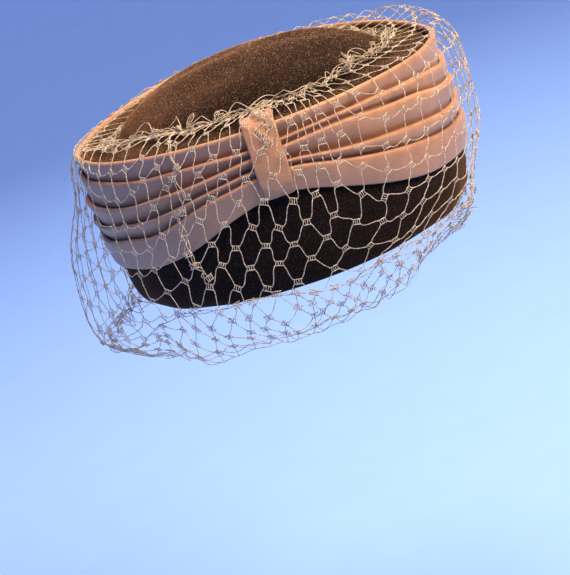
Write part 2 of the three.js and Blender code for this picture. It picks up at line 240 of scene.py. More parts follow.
def smooth_curve(places, values, at):
    """A smooth curve through the rows of a table, read at other places."""
    places, values = np.asarray(places, float), np.asarray(values, float)
    at = np.asarray(at, float)
    slopes = np.gradient(values, places)
    low = np.clip(np.searchsorted(places, at) - 1, 0, len(places) - 2)
    width = places[low + 1] - places[low]
    t = np.clip((at - places[low]) / width, 0, 1)
    start = values[low] * (1 + 2 * t) + slopes[low] * width * t
    end = values[low + 1] * (3 - 2 * t) - slopes[low + 1] * width * (1 - t)
    return start * (1 - t) ** 2 + end * t ** 2


def degrees_from_front(turn):
    """A turn in degrees from the front, negative towards -X."""
    return (np.degrees(turn) + 180) % 360 - 180


def bell(turn, middle, spread):
    """A smooth rise to 1 at a turn in degrees, which fades over a spread."""
    return np.exp(-(degrees_from_front(turn - math.radians(middle)) / spread) ** 2)


def edge_rise(turn):
    """How much higher the top edge stands, which is level round the front half."""
    return EDGE_RISE * np.minimum(np.cos(turn), 0) ** 2


def hat_points(turn, radius, height):
    """Points from a turn, a radius and a height."""
    return np.stack([radius * np.sin(turn), -radius * np.cos(turn) * OVAL, height], -1)


def wander(turn, size, waves, seed):
    """A smooth random line round the hat, of whole waves."""
    random = np.random.default_rng(seed)
    total = np.zeros_like(turn)
    for wave in waves:
        total += random.normal() * np.sin(wave * turn + random.uniform(0, 2 * math.pi))
    return size * total / math.sqrt(len(waves) / 2)


def bunch(turn):
    """The radius and the height of the gathered bunch at a turn."""
    at = degrees_from_front(turn)
    turns, radii, heights = zip(*BENDS)
    return smooth_curve(turns, radii, at), smooth_curve(turns, heights, at)


def ripple(points, size, wavelength, seed, count=12):
    """A smooth random field over points in two or three directions."""
    random = np.random.default_rng(seed)
    total = np.zeros(points.shape[:-1])
    for _ in range(count):
        direction = random.normal(size=points.shape[-1])
        direction *= 2 * math.pi / wavelength / np.linalg.norm(direction) * random.uniform(0.6, 1.5)
        total += np.sin(points @ direction + random.uniform(0, 2 * math.pi))
    return size * total / math.sqrt(count / 2)


def unit(vectors):
    """Vectors at unit length."""
    return vectors / np.maximum(np.linalg.norm(vectors, axis=-1, keepdims=True), 1e-9)


# Meshes


def new_piece(name, points, faces, material):
    """A smooth mesh piece from points in millimetres, riding on the hat."""
    mesh = bpy.data.meshes.new(name)
    mesh.from_pydata((np.asarray(points).reshape(-1, 3) * MM).tolist(), [], faces)
    mesh.polygons.foreach_set("use_smooth", np.ones(len(mesh.polygons), bool))
    mesh.materials.append(material)
    piece = bpy.data.objects.new(name, mesh)
    bpy.context.scene.collection.objects.link(piece)
    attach(piece, BODY)
    return piece


def loft(sections, closed_round):
    """Faces of a skin over closed sections of equal size, with its ends shut unless it runs round."""
    count, size = sections.shape[:2]
    faces = []
    for at in range(count if closed_round else count - 1):
        here, there = at * size, (at + 1) % count * size
        for k in range(size):
            after = (k + 1) % size
            faces.append((here + k, here + after, there + after, there + k))
    if not closed_round:
        faces.append(tuple(range(size - 1, -1, -1)))
        faces.append(tuple(range((count - 1) * size, count * size)))
    return faces


def cloth_section(path, thickness):
    """The closed section of a cloth whose face follows a path, with its back to the path's right."""
    along = unit(np.gradient(path, axis=-2))
    back = path + thickness * np.stack([along[..., 1], -along[..., 0]], -1)
    return np.concatenate([path, back[..., ::-1, :]], axis=-2)


class ThreadBag:
    """Round threads that are gathered into one mesh."""

    def __init__(self):
        self.points = []
        self.faces = []
        self.count = 0

    def add(self, paths, width, sides=5):
        """Threads along paths of equal length, with shut ends."""
        threads, steps = paths.shape[:2]
        along = unit(np.gradient(paths, axis=1))
        side = np.empty_like(paths)
        upright = np.abs(along[:, 0, 2:3]) > 0.9
        side[:, 0] = unit(np.cross(along[:, 0], np.where(upright, (1.0, 0, 0), (0, 0, 1.0))))
        for step in range(1, steps):
            last, way = side[:, step - 1], along[:, step]
            side[:, step] = unit(last - way * np.sum(last * way, -1, keepdims=True))
        across = np.cross(along, side)
        angles = np.arange(sides) * 2 * math.pi / sides
        rings = paths[:, :, None] + width / 2 * (
            np.cos(angles)[:, None] * side[:, :, None] + np.sin(angles)[:, None] * across[:, :, None]
        )
        first = self.count + np.arange(threads * steps * sides).reshape(threads, steps, sides)
        after = np.roll(first, -1, axis=2)
        walls = np.stack([first[:, :-1], after[:, :-1], after[:, 1:], first[:, 1:]], -1)
        self.points.append(rings.reshape(-1, 3))
        self.faces += walls.reshape(-1, 4).tolist()
        self.faces += first[:, 0, ::-1].tolist()
        self.faces += first[:, -1].tolist()
        self.count += threads * steps * sides

    def piece(self, name, material, slot):
        """The threads as one piece."""
        return new_piece(name, np.concatenate(self.points), self.faces, material)


# Materials


def add_node(tree, kind, sockets=None, **details):
    """Adds a node with its settings. A socket takes a value, or a link from another node's output."""
    node = tree.nodes.new(kind)
    for name, value in details.items():
        setattr(node, name, value)
    for name, value in (sockets or {}).items():
        if isinstance(value, bpy.types.NodeSocket):
            tree.links.new(value, node.inputs[name])
        else:
            node.inputs[name].default_value = value
    return node


def new_material(name):
    """An empty node material, its tree, and coordinates in metres for its patterns."""
    material = bpy.data.materials.new(name)
    material.use_nodes = True
    tree = material.node_tree
    tree.nodes.clear()
    return material, tree, add_node(tree, "ShaderNodeTexCoord").outputs["Object"]


def opaque(rgb):
    """A colour with full alpha."""
    return (*rgb, 1)


def per_millimetre(size):
    """The scale of a pattern that repeats at a size in millimetres, in coordinates of metres."""
    return 1 / (size * MM)


def two_tone(tree, pattern, span, low, high):
    """A colour that goes from one to another as a pattern goes through a span of values."""
    share = add_node(tree, "ShaderNodeMapRange", {
        "Value": pattern, "From Min": span[0], "From Max": span[1],
    })
    return add_node(tree, "ShaderNodeMix", {
        "Factor": share.outputs["Result"], "A": opaque(low), "B": opaque(high),
    }, data_type="RGBA").outputs["Result"]


def velour_felt():
    """Wool felt, blocked and brushed into a short nap: dark and dull seen square on, with a pale bloom
    at glancing angles, stray fibres that catch the light, and painted shade between the tufts of the nap."""
    look = settings("felt")
    material, tree, place = new_material("velour_felt_brushed")
    tuft = add_node(tree, "ShaderNodeTexNoise", {
        "Vector": place, "Scale": per_millimetre(look.fibre / MM), "Detail": 3, "Roughness": 0.6,
    })
    lay = add_node(tree, "ShaderNodeTexNoise", {
        "Vector": place, "Scale": per_millimetre(18), "Detail": 2,
    })
    speck = add_node(tree, "ShaderNodeTexNoise", {
        "Vector": place, "Scale": per_millimetre(0.7), "Detail": 2,
    })
    # Painted shade: the felt is darker where the tufts' bump sinks, standing in for the shade between them.
    brushed = two_tone(tree, tuft.outputs["Fac"], (0.32, 0.7), look.ground, look.nap)
    cloudy = add_node(tree, "ShaderNodeMapRange", {
        "Value": lay.outputs["Fac"], "From Min": 0.3, "From Max": 0.7, "To Min": 0.75, "To Max": 1.15,
    })
    uneven = add_node(tree, "ShaderNodeMix", {
        "Factor": 1.0, "A": brushed, "B": cloudy.outputs["Result"],
    }, data_type="RGBA", blend_type="MULTIPLY")
    flecked = add_node(tree, "ShaderNodeMapRange", {
        "Value": speck.outputs["Fac"], "From Min": 0.54, "From Max": 0.74, "To Max": 0.6,
    })
    felt = add_node(tree, "ShaderNodeMix", {
        "Factor": flecked.outputs["Result"], "A": uneven.outputs["Result"], "B": opaque(look.fleck),
    }, data_type="RGBA")
    relief = add_node(tree, "ShaderNodeBump", {
        "Strength": 0.9, "Distance": 0.6 * MM, "Height": tuft.outputs["Fac"],
    })
    shader = add_node(tree, "ShaderNodeBsdfPrincipled", {
        "Base Color": felt.outputs["Result"], "Roughness": 0.95, "IOR": 1.5,
        "Specular IOR Level": 0.1, "Sheen Weight": 0.45, "Sheen Roughness": 0.32,
        "Sheen Tint": opaque(look.bloom), "Normal": relief.outputs["Normal"],
    })
    add_node(tree, "ShaderNodeOutputMaterial", {"Surface": shader.outputs["BSDF"]})
    return material


def wool_fibre():
    """Loose wool fibres that stand out of the nap: dull, and paler than the felt where the dye is thin."""
    look = settings("felt")
    material, tree, place = new_material("wool_fibre_brushed")
    dye = add_node(tree, "ShaderNodeTexNoise", {
        "Vector": place, "Scale": per_millimetre(2.5), "Detail": 2,
    })
    wool = two_tone(tree, dye.outputs["Fac"], (0.4, 0.7), look.fibre_dark, look.fibre_pale)
    shader = add_node(tree, "ShaderNodeBsdfPrincipled", {
        "Base Color": wool, "Roughness": 0.8, "IOR": 1.5, "Specular IOR Level": 0.2,
    })
    add_node(tree, "ShaderNodeOutputMaterial", {"Surface": shader.outputs["BSDF"]})
    return material


def rose_satin():
    """Satin-woven cloth with long floats: smooth, with a broad highlight that stretches across its
    threads. Its real weave of 0.1 mm is drawn at 0.45 mm, so that it shows."""
    look = settings("satin")
    material, tree, place = new_material("rose_satin_woven")
    drift = add_node(tree, "ShaderNodeTexNoise", {
        "Vector": place, "Scale": per_millimetre(22), "Detail": 3,
    })
    slub = add_node(tree, "ShaderNodeMapping", {"Vector": place, "Scale": (1, 1, 9)})
    floats = add_node(tree, "ShaderNodeTexNoise", {
        "Vector": slub.outputs["Vector"], "Scale": per_millimetre(4), "Detail": 3,
    })
    weave = add_node(tree, "ShaderNodeTexNoise", {
        "Vector": place, "Scale": per_millimetre(0.45), "Detail": 1,
    })
    tone = add_node(tree, "ShaderNodeMath", {
        0: drift.outputs["Fac"], 1: floats.outputs["Fac"],
    }, operation="ADD")
    cloth = two_tone(tree, tone.outputs["Value"], (0.7, 1.3), look.shade, look.face)
    gloss = add_node(tree, "ShaderNodeMapRange", {
        "Value": floats.outputs["Fac"], "From Min": 0.3, "From Max": 0.7, "To Min": 0.36, "To Max": 0.48,
    })
    relief = add_node(tree, "ShaderNodeBump", {
        "Strength": 0.35, "Distance": 0.1 * MM, "Height": weave.outputs["Fac"],
    })
    threads = add_node(tree, "ShaderNodeTangent", direction_type="RADIAL", axis="Z")
    shader = add_node(tree, "ShaderNodeBsdfPrincipled", {
        "Base Color": cloth, "Roughness": gloss.outputs["Result"], "IOR": 1.5,
        "Specular IOR Level": 0.38, "Anisotropic": 0.5, "Tangent": threads.outputs["Tangent"],
        "Sheen Weight": 0.2, "Sheen Roughness": 0.4, "Normal": relief.outputs["Normal"],
    })
    add_node(tree, "ShaderNodeOutputMaterial", {"Surface": shader.outputs["BSDF"]})
    return material


def net_yarn():
    """Soft twisted yarn, knotted into a net: dull, slightly hairy, with painted shade between its plies,
    where their bump sinks. The twist of about 0.5 mm is drawn at 0.9 mm, so that it shows."""
    look = settings("net")
    material, tree, place = new_material("net_yarn_twisted")
    plies = add_node(tree, "ShaderNodeTexNoise", {
        "Vector": place, "Scale": per_millimetre(0.9), "Detail": 2,
    })
    # Painted shade: the yarn is darker where the plies' bump sinks, standing in for the shade between them.
    yarn = two_tone(tree, plies.outputs["Fac"], (0.35, 0.6), look.yarn_painted_shade, look.thread_colour)
    relief = add_node(tree, "ShaderNodeBump", {
        "Strength": 0.6, "Distance": 0.15 * MM, "Height": plies.outputs["Fac"],
    })
    shader = add_node(tree, "ShaderNodeBsdfPrincipled", {
        "Base Color": yarn, "Roughness": 0.85, "IOR": 1.5,
        "Specular IOR Level": 0.3, "Sheen Weight": 0.3, "Sheen Roughness": 0.5,
        "Normal": relief.outputs["Normal"],
    })
    add_node(tree, "ShaderNodeOutputMaterial", {"Surface": shader.outputs["BSDF"]})
    return material


def studio_paper():
    """Matt paper of a studio floor: even, with the least grain."""
    look = settings("stage")
    material, tree, place = new_material("studio_paper_matt")
    grain = add_node(tree, "ShaderNodeTexNoise", {"Vector": place, "Scale": per_millimetre(40)})
    share = add_node(tree, "ShaderNodeMapRange", {
        "Value": grain.outputs["Fac"], "To Min": 0.97, "To Max": 1.03,
    })
    paper = add_node(tree, "ShaderNodeMix", {
        "Factor": 1.0, "A": opaque(look.floor), "B": share.outputs["Result"],
    }, data_type="RGBA", blend_type="MULTIPLY")
    shader = add_node(tree, "ShaderNodeBsdfPrincipled", {
        "Base Color": paper.outputs["Result"], "Roughness": 0.9, "Specular IOR Level": 0.2,
    })
    add_node(tree, "ShaderNodeOutputMaterial", {"Surface": shader.outputs["BSDF"]})
    return material


def shared_material(make):
    """A material that is made once and then found again by its maker's name."""
    if make.__name__ not in shared_material.made:
        shared_material.made[make.__name__] = make()
    return shared_material.made[make.__name__]


shared_material.made = {}


# The stage

IMAGE = (570, 575)  # the photograph's frame, in pixels
SENSOR = 36
LENS = 100
FAR_CLIP = 20  # metres
VIEW = {"elevation": 16.2, "roll": -19.6, "yaw": 2.9, "distance": 850}
RIM_CENTRE_PIXEL = (303.1, 234.8)  # where the middle of the hat's rim lies in that frame


class HAT_OT_stage(bpy.types.Operator):
    """Makes the floor, the lights, the world and the camera."""

    bl_idname = "hat.stage"
    bl_label = "Stage"

    FLOOR_RADIUS = 2600  # of the flat floor, inside its curved rim
    RIM_CURVE = 1500
    RIM_STEPS = 16
    ROUND = 96
    LAMP_TARGET = (0, 0, 40)
    BACK_TARGET = 1300  # how far behind the hat the back lamp lights the floor
    # Lamps on the rim: the way to it, along X and Y, and a power
    RIM_LAMPS = [(0, 1, 26), (1, 0, 14), (-1, 0, 14), (0, -1, 10)]
    RIM_LAMP_OUT = 900
    RIM_LAMP_HEIGHT = 1500
    RIM_TARGET = 3600
    BROAD = 1500  # size of the lamps over the floor and its rim
    AIR_COLOUR = "#6d9dff"
    AIR_STRENGTH = 0.22

    def execute(self, context):
        self.make_floor(context)
        self.make_lights(context)
        self.make_camera(context)
        return {"FINISHED"}

    def make_floor(self, context):
        """A round paper floor that curves up at its rim."""
        bend = np.linspace(0, math.pi / 2, self.RIM_STEPS)[1:]
        rim = self.FLOOR_RADIUS + self.RIM_CURVE * np.sin(bend)
        radius = np.concatenate([[1, self.FLOOR_RADIUS], rim])
        height = np.concatenate([[0, 0], self.RIM_CURVE * (1 - np.cos(bend))])
        height -= settings("stage").drop / MM
        turn = np.arange(self.ROUND) * 2 * math.pi / self.ROUND
        points = np.stack([
            np.outer(np.cos(turn), radius), np.outer(np.sin(turn), radius),
            np.tile(height, (self.ROUND, 1)),
        ], -1)
        rows = len(radius)
        faces = [tuple(at * rows for at in range(self.ROUND))]
        for at in range(self.ROUND):
            here, there = at * rows, (at + 1) % self.ROUND * rows
            faces += [(here + k, here + k + 1, there + k + 1, there + k) for k in range(rows - 1)]
        mesh = bpy.data.meshes.new("studio_floor")
        mesh.from_pydata((points.reshape(-1, 3) * MM).tolist(), [], faces)
        mesh.polygons.foreach_set("use_smooth", np.ones(len(mesh.polygons), bool))
        mesh.materials.append(shared_material(studio_paper))
        floor = bpy.data.objects.new("studio_floor", mesh)
        context.scene.collection.objects.link(floor)

    def make_lights(self, context):
        """A warm soft key from above on the +X side, a steep one over the crown, a cool fill
        from the -X side, a light on the tip from behind, a broad light over the back of the floor,
        lights on the floor's rim all round, and a dim blue world."""
        look = settings("stage")
        hat = self.LAMP_TARGET
        floor = (0, self.BACK_TARGET, -look.drop / MM)
        lamps = [
            Lamp("key", (720, -640, 880), hat, 620, 23.5, look.key),
            Lamp("crown", (60, -420, 1300), hat, 420, 8.8, look.key),
            Lamp("fill", (-1150, -620, 0), hat, 900, 8, look.fill),
            Lamp("tip", (480, 420, 900), hat, 420, 14, look.key),
            Lamp("back", (150, 1100, 1700), floor, self.BROAD, 16, look.back),
        ]
        for x, y, power in self.RIM_LAMPS:
            place = (self.RIM_LAMP_OUT * x, self.RIM_LAMP_OUT * y, self.RIM_LAMP_HEIGHT)
            target = (self.RIM_TARGET * x, self.RIM_TARGET * y, 0)
            lamps.append(Lamp("rim", place, target, self.BROAD, power, look.back))
        for lamp in lamps:
            light = bpy.data.lights.new(lamp.name, "AREA")
            light.shape = "DISK"
            light.size = lamp.size * MM
            light.energy = lamp.power
            light.color = lamp.tint
            holder = bpy.data.objects.new(lamp.name, light)
            back = unit(np.array(lamp.place) - lamp.target)
            right = unit(np.cross((0, 0, 1), back))
            axes = np.stack([right, np.cross(back, right), back], -1)
            holder.matrix_world = Matrix.LocRotScale(
                [c * MM for c in lamp.place], Matrix(axes.tolist()), None,
            )
            # The lamp on the tip lights the nap and leaves no shine on the satin.
            holder.visible_glossy = lamp.name != "tip"
            context.scene.collection.objects.link(holder)
        world = bpy.data.worlds.new("studio_air")
        world.use_nodes = True
        air = world.node_tree.nodes["Background"]
        air.inputs["Color"].default_value = opaque(linear(self.AIR_COLOUR))
        air.inputs["Strength"].default_value = self.AIR_STRENGTH
        context.scene.world = world
        context.scene.view_settings.view_transform = "Standard"

    def make_camera(self, context):
        """A camera at the photograph's viewing angle, rolled so that the hat is tipped to one side."""
        elevation, roll, yaw = (math.radians(VIEW[k]) for k in ("elevation", "roll", "yaw"))
        back = np.array([
            math.sin(yaw) * math.cos(elevation), -math.cos(yaw) * math.cos(elevation), math.sin(elevation),
        ])
        level = np.array([math.cos(yaw), math.sin(yaw), 0])
        upright = np.cross(back, level)
        right = level * math.cos(roll) + upright * math.sin(roll)
        up = upright * math.cos(roll) - level * math.sin(roll)
        focal = LENS / SENSOR * max(IMAGE)
        off_right = (RIM_CENTRE_PIXEL[0] - IMAGE[0] / 2) / focal
        off_up = (IMAGE[1] / 2 - RIM_CENTRE_PIXEL[1]) / focal
        eye = (back - right * off_right - up * off_up) * VIEW["distance"]
        lens = bpy.data.cameras.new("camera")
        lens.lens = LENS
        lens.sensor_width = SENSOR
        lens.clip_end = FAR_CLIP
        camera = bpy.data.objects.new("camera", lens)
        axes = np.stack([right, up, back], -1)
        camera.matrix_world = Matrix.LocRotScale((eye * MM).tolist(), Matrix(axes.tolist()), None)
        context.scene.collection.objects.link(camera)
        context.scene.camera = camera


# The felt hood


class HAT_OT_hood(bpy.types.Operator):
    """Makes the brushed felt hood over its solid."""

    bl_idname = "hat.hood"
    bl_label = "Felt hood"

    WELD = 0.01  # points of the solid closer than this are one
    JOIN = 70  # two triangles that meet at less than this, in degrees, become one face
    LEVELS = 2
    DENT_WAVE = 45  # how far apart the dents of the felt lie

    def execute(self, context):
        form = bmesh.new()
        form.from_mesh(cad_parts["felt_hood"].data)
        bmesh.ops.remove_doubles(form, verts=form.verts, dist=self.WELD * MM)
        wide = math.radians(self.JOIN)
        bmesh.ops.join_triangles(
            form, faces=form.faces, angle_face_threshold=wide, angle_shape_threshold=wide,
        )
        rough = bpy.data.meshes.new("hood_rough")
        form.to_mesh(rough)
        form.free()
        holder = bpy.data.objects.new("hood_rough", rough)
        context.scene.collection.objects.link(holder)
        soften = holder.modifiers.new("soften", "SUBSURF")
        soften.levels = self.LEVELS
        soften.render_levels = self.LEVELS
        shape = holder.evaluated_get(context.evaluated_depsgraph_get()).to_mesh()
        points, normals = np.empty((2, len(shape.vertices), 3))
        shape.vertices.foreach_get("co", points.ravel())
        shape.vertices.foreach_get("normal", normals.ravel())
        points = points / MM
        faces = [tuple(face.vertices) for face in shape.polygons]
        holder.to_mesh_clear()
        bpy.data.objects.remove(holder)
        dents = ripple(points, settings("felt").dents / MM, self.DENT_WAVE, seed=3)
        points += normals * dents[:, None]
        hood = new_piece("felt_hood_nap", points, faces, shared_material(velour_felt))
        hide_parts("felt_hood")
        return {"FINISHED"}


class HAT_OT_fibres(bpy.types.Operator):
    """Makes the stray fibres that stand up from the tip and the ledge of the hood."""

    bl_idname = "hat.fibres"
    bl_label = "Stray fibres"

    WIDTH = 0.24
    ROOT = 0.15  # how far a fibre is rooted in the felt
    LEANS = (15, 75)  # how far a fibre leans from straight up, in degrees
    LENGTHS = (0.5, 1)  # shares of the longest fibre
    LEAST_UP = 0.3  # how much a face of the hood looks up to have fibres

    def execute(self, context):
        look = settings("felt")
        random = np.random.default_rng(83)
        count = look.fibres
        centre, up = self.roots(random, count)
        side = unit(np.cross(up, random.normal(size=(count, 3))))
        lean = np.radians(random.uniform(*self.LEANS, (count, 1)))
        axis = up * np.cos(lean) + side * np.sin(lean)
        across = np.cross(axis, unit(np.cross(up, side)))
        tall = look.fibre_length / MM * random.uniform(*self.LENGTHS, (count, 1))
        corners = [centre + axis * tall]
        for angle in np.radians([0, 120, 240]):
            ring = across * math.cos(angle) + np.cross(axis, across) * math.sin(angle)
            corners.append(centre - up * self.ROOT + ring * self.WIDTH / 2)
        points = np.stack(corners, 1)
        spike = np.array([(0, 1, 2), (0, 2, 3), (0, 3, 1), (3, 2, 1)])
        faces = (np.arange(count)[:, None, None] * 4 + spike).reshape(-1, 3).tolist()
        new_piece("felt_fibres", points, faces, shared_material(wool_fibre))
        return {"FINISHED"}

    def roots(self, random, count):
        """Places spread evenly over the faces that look up, with their normals."""
        hood = bpy.data.objects["felt_hood_nap"].data
        hood.calc_loop_triangles()
        triangles = [t for t in hood.loop_triangles if t.normal.z > self.LEAST_UP]
        areas = np.array([t.area for t in triangles])
        chosen = random.choice(len(triangles), count, p=areas / areas.sum())
        corners = np.array([[hood.vertices[v].co for v in t.vertices] for t in triangles])[chosen] / MM
        normals = np.array([t.normal for t in triangles])[chosen]
        first, second = np.sqrt(random.uniform(size=(count, 1))), random.uniform(size=(count, 1))
        shares = np.stack([1 - first, first * (1 - second), first * second], 1)
        return (corners * shares).sum(1), normals


# The satin band and tab


def fold_heights(turn):
    """The heights of the five folds and of the foot at a turn, top to bottom."""
    rows = PLEAT_ROWS[-2:-1] + PLEAT_ROWS + PLEAT_ROWS[1:2]
    places = [row.turn for row in rows]
    places[0] -= 360
    places[-1] += 360
    at = degrees_from_front(turn)
    heights = [BAND_TOP + edge_rise(turn)]
    for column in ("second", "third", "fourth", "fifth", "foot"):
        heights.append(smooth_curve(places, [getattr(row, column) for row in rows], at))
    return heights


class HAT_OT_band(bpy.types.Operator):
    """Makes the satin band, one strip folded into five upward pleats."""

    bl_idname = "hat.band"
    bl_label = "Pleated satin band"

    ROUND = 320
    LIP_STEPS = 9
    LIP_SHARE = 0.28  # most that a lip's radius is, as a share of its pleat's height
    TOP_LIP = 1.35
    FACE_STEPS = 11
    FRONT_SPREAD = 60
    STAND = 2.8  # how much further the top fold stands out at the front
    DRAWN = 1.3  # how much less the other folds stand out at the two sides
    COVERED = 1.06  # how far behind the next fold a pleat goes on falling back
    SLACK_ROLL = 1.05
    FULL_TURN = 72  # turn in degrees where the pleats are fullest
    FULL_SPREAD = 52
    ROLL = 1.2  # how much later a full pleat falls back than a slack one
    HEIGHT_WAVES = range(4, 15)  # of a fold in one round
    CREST_WAVES = range(3, 13)
    PUCKER = 0.12
    PUCKERS = range(5, 18)
    POCKET_SHARE = 0.8  # most that a pocket is, as a share of its pleat's height
    SHUT = 3  # how far the pockets close where they are drawn flat
    SHUT_TURN = -98
    SHUT_SPREAD = 26
    SHUT_GAP = 0.6  # least width of a pocket that is drawn flat
    TUCK = 1  # width of the bottom of a pocket
    TURN_DOWN = 3.6  # how far the strip turns down behind the top edge
    TURN_UP = 6  # how far it turns up behind the foot
    FOOT_ROUND = 0.8

    def execute(self, context):
        look = settings("satin")
        turn = np.arange(self.ROUND) * 2 * math.pi / self.ROUND
        path = self.path(turn, look)
        section = cloth_section(path, look.cloth / MM)
        points = hat_points(turn[:, None], section[..., 0], section[..., 1])
        band = new_piece(
            "satin_band", points, loft(points, True), shared_material(rose_satin),
        )
        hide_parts("pleated_band")
        return {"FINISHED"}

    def path(self, turn, look):
        """The face of the cloth at each turn as radius and height, from its top edge to its foot."""
        pocket, wave = look.pocket / MM, look.wave / MM
        heights = fold_heights(turn)
        for k in range(1, 5):
            heights[k] = heights[k] + wander(turn, wave, self.HEIGHT_WAVES, seed=20 + k)
        crests = [
            radius + wander(turn, wave, self.CREST_WAVES, seed=40 + k)
            for k, radius in enumerate(CREST_RADII)
        ]
        front = bell(turn, 0, self.FRONT_SPREAD)
        crests[0] = crests[0] + self.STAND * front
        for k in range(1, 5):
            crests[k] = crests[k] - self.DRAWN * np.sin(turn) ** 2
        full = self.fullness(turn)
        near_shut = bell(turn, self.SHUT_TURN, self.SHUT_SPREAD)
        roll = (look.lip + (look.full_lip - look.lip) * full) / MM
        lips = [
            np.minimum(self.LIP_SHARE * (high - low), roll) for high, low in zip(heights, heights[1:])
        ]
        lips[0] = turn * 0 + self.TOP_LIP
        line = [(crests[0] - 2 * lips[0], heights[0] - self.TURN_DOWN)]
        for k, crest in enumerate(crests):
            line += self.lip(crest, heights[k], lips[k])
            start = (crest, heights[k] - lips[k])
            last = k == len(crests) - 1
            if last:
                end = (turn * 0 + FOOT_RADIUS, heights[-1] + self.FOOT_ROUND)
                seen = 1
            else:
                deep = np.minimum(pocket, self.POCKET_SHARE * (heights[k] - heights[k + 1]))
                next_back = crests[k + 1] - 2 * lips[k + 1]
                shut = np.minimum(self.SHUT * near_shut, next_back - BACK_RADIUS - self.SHUT_GAP)
                end = (BACK_RADIUS + shut, heights[k + 1] - lips[k + 1] - deep)
                seen = self.COVERED * (start[1] - heights[k + 1]) / (start[1] - end[1])
            puckers = wander(turn, self.PUCKER, self.PUCKERS, seed=60 + k)
            line += self.face(start, end, seen, full, puckers)
            if not last:
                line += self.tuck(end, (next_back, heights[k + 1] - lips[k + 1]))
        for angle in np.radians([-45, -90, -135]):
            line.append((
                FOOT_RADIUS - self.FOOT_ROUND * (1 - math.cos(angle)),
                heights[-1] + self.FOOT_ROUND * (1 + math.sin(angle)),
            ))
        line.append((BACK_RADIUS + turn * 0, heights[-1] + self.FOOT_ROUND))
        line.append((BACK_RADIUS + turn * 0, heights[-1] + self.TURN_UP))
        return np.stack([np.stack([r + turn * 0, z], -1) for r, z in line], 1)

    def lip(self, crest, height, lip):
        """The rolled edge of a fold, from its back to its front."""
        angles = np.linspace(math.pi, 0, self.LIP_STEPS)
        return [(crest - lip + lip * math.cos(a), height - lip + lip * math.sin(a)) for a in angles]

    def fullness(self, turn):
        """How full the pleats are at a turn, from 0 to 1. Those of the +X side are fuller."""
        off = degrees_from_front(turn - math.radians(self.FULL_TURN)) / self.FULL_SPREAD
        return np.exp(-off ** 4)

    def face(self, start, end, seen, full, puckers):
        """The face of a pleat, which rolls back from its lip over the share of it that is seen."""
        line = []
        for t in np.linspace(0, 1, self.FACE_STEPS + 1)[1:]:
            back = np.minimum(t / seen, 1) ** (self.SLACK_ROLL + self.ROLL * full)
            radius = start[0] + (end[0] - start[0]) * back + puckers * math.sin(math.pi * t)
            line.append((radius, start[1] + (end[1] - start[1]) * t))
        return line

    def tuck(self, low, back):
        """The bottom of a pocket and the hidden back of the next lip."""
        half = self.TUCK / 2
        bottom = [
            (low[0] + half * (1 - math.cos(a)), low[1] - half * math.sin(a))
            for a in np.radians([45, 90, 135, 180])
        ]
        foot = bottom[-1]
        rise = [
            (foot[0] + (back[0] - foot[0]) * t, foot[1] + (back[1] - foot[1]) * t) for t in (0.35, 0.7)
        ]
        return bottom + rise


class HAT_OT_tab(bpy.types.Operator):
    """Makes the satin tab that draws the band together at the front."""

    bl_idname = "hat.tab"
    bl_label = "Satin tab"

    # The tab's face from the gathered net over the band to its foot: radius and height
    LINE = [
        (80.5, 83.6), (85, 85.2), (90, 86), (95.5, 85.8), (99.4, 84.2), (101.4, 80.8), (102.4, 76),
        (103.2, 71), (103.7, 66), (103.8, 61.5), (103.5, 57), (102.7, 53), (101, 50), (99.1, 48.2),
        (97.5, 47.8), (96.6, 48.8),
    ]
    STEPS = 72
    TURN_UNDER = 5.5  # how far each side edge is turned under
    EDGE_ROUND = 0.75
    CROWN = 0.35  # how far the middle of the tab stands up between its edges
    CROWN_STEPS = 9
    TAPER = 0.3  # how much narrower the +X half of the tab is at its foot
    WAVER = 0.012  # how much its width wavers, as a share of it
    WAVERS = (1, 2, 3, 5)
    WAVER_TURN = 5
    DENTS = 0.14
    DENT_WAVE = 13
    DENT_LENGTH = 75

    def execute(self, context):
        look = settings("satin")
        half = look.tab_width / MM / 2
        across = self.across(half)
        section = cloth_section(across, look.cloth / MM)
        knots = np.linspace(0, 1, len(self.LINE))
        at = np.linspace(0, 1, self.STEPS)
        line = np.stack([smooth_curve(knots, column, at) for column in zip(*self.LINE)], -1)
        along = unit(np.gradient(line, axis=0))
        out = np.stack([-along[:, 1], along[:, 0]], -1)
        side = section[None, :, 0] * self.wavers(at)
        side = np.where(side > 0, side * (1 - self.TAPER * at ** 2)[:, None], side)
        cloth = np.stack(np.broadcast_arrays(section[None, :, 0], at[:, None] * self.DENT_LENGTH), -1)
        stand = section[None, :, 1] + ripple(cloth, self.DENTS, self.DENT_WAVE, seed=5)
        ahead = line[:, None, 0] + stand * out[:, None, 0]
        points = np.stack([side, -ahead * OVAL, line[:, None, 1] + stand * out[:, None, 1]], -1)
        points = points[:, ::-1]  # so that the faces look outwards
        tab = new_piece(
            "satin_tab", points, loft(points, False), shared_material(rose_satin),
        )
        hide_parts("band_tab")
        return {"FINISHED"}

    def wavers(self, at):
        """How much wider or narrower the tab is at each place along it."""
        return (1 + wander(at * self.WAVER_TURN, self.WAVER, self.WAVERS, seed=8))[:, None]

    def across(self, half):
        """The face of the tab from side to side, with both edges turned under."""
        inner = half - self.EDGE_ROUND
        left = [(-half + self.TURN_UNDER, -2 * self.EDGE_ROUND)]
        for angle in np.radians([-90, -125, -160, 160, 125, 90]):
            left.append((
                -inner + self.EDGE_ROUND * math.cos(angle),
                -self.EDGE_ROUND + self.EDGE_ROUND * math.sin(angle),
            ))
        places = np.linspace(-inner, inner, self.CROWN_STEPS)[1:-1]
        crown = [(x, self.CROWN * (1 - (x / inner) ** 2)) for x in places]
        right = [(-x, y) for x, y in left[::-1]]
        return np.array(left + crown + right)


# The net


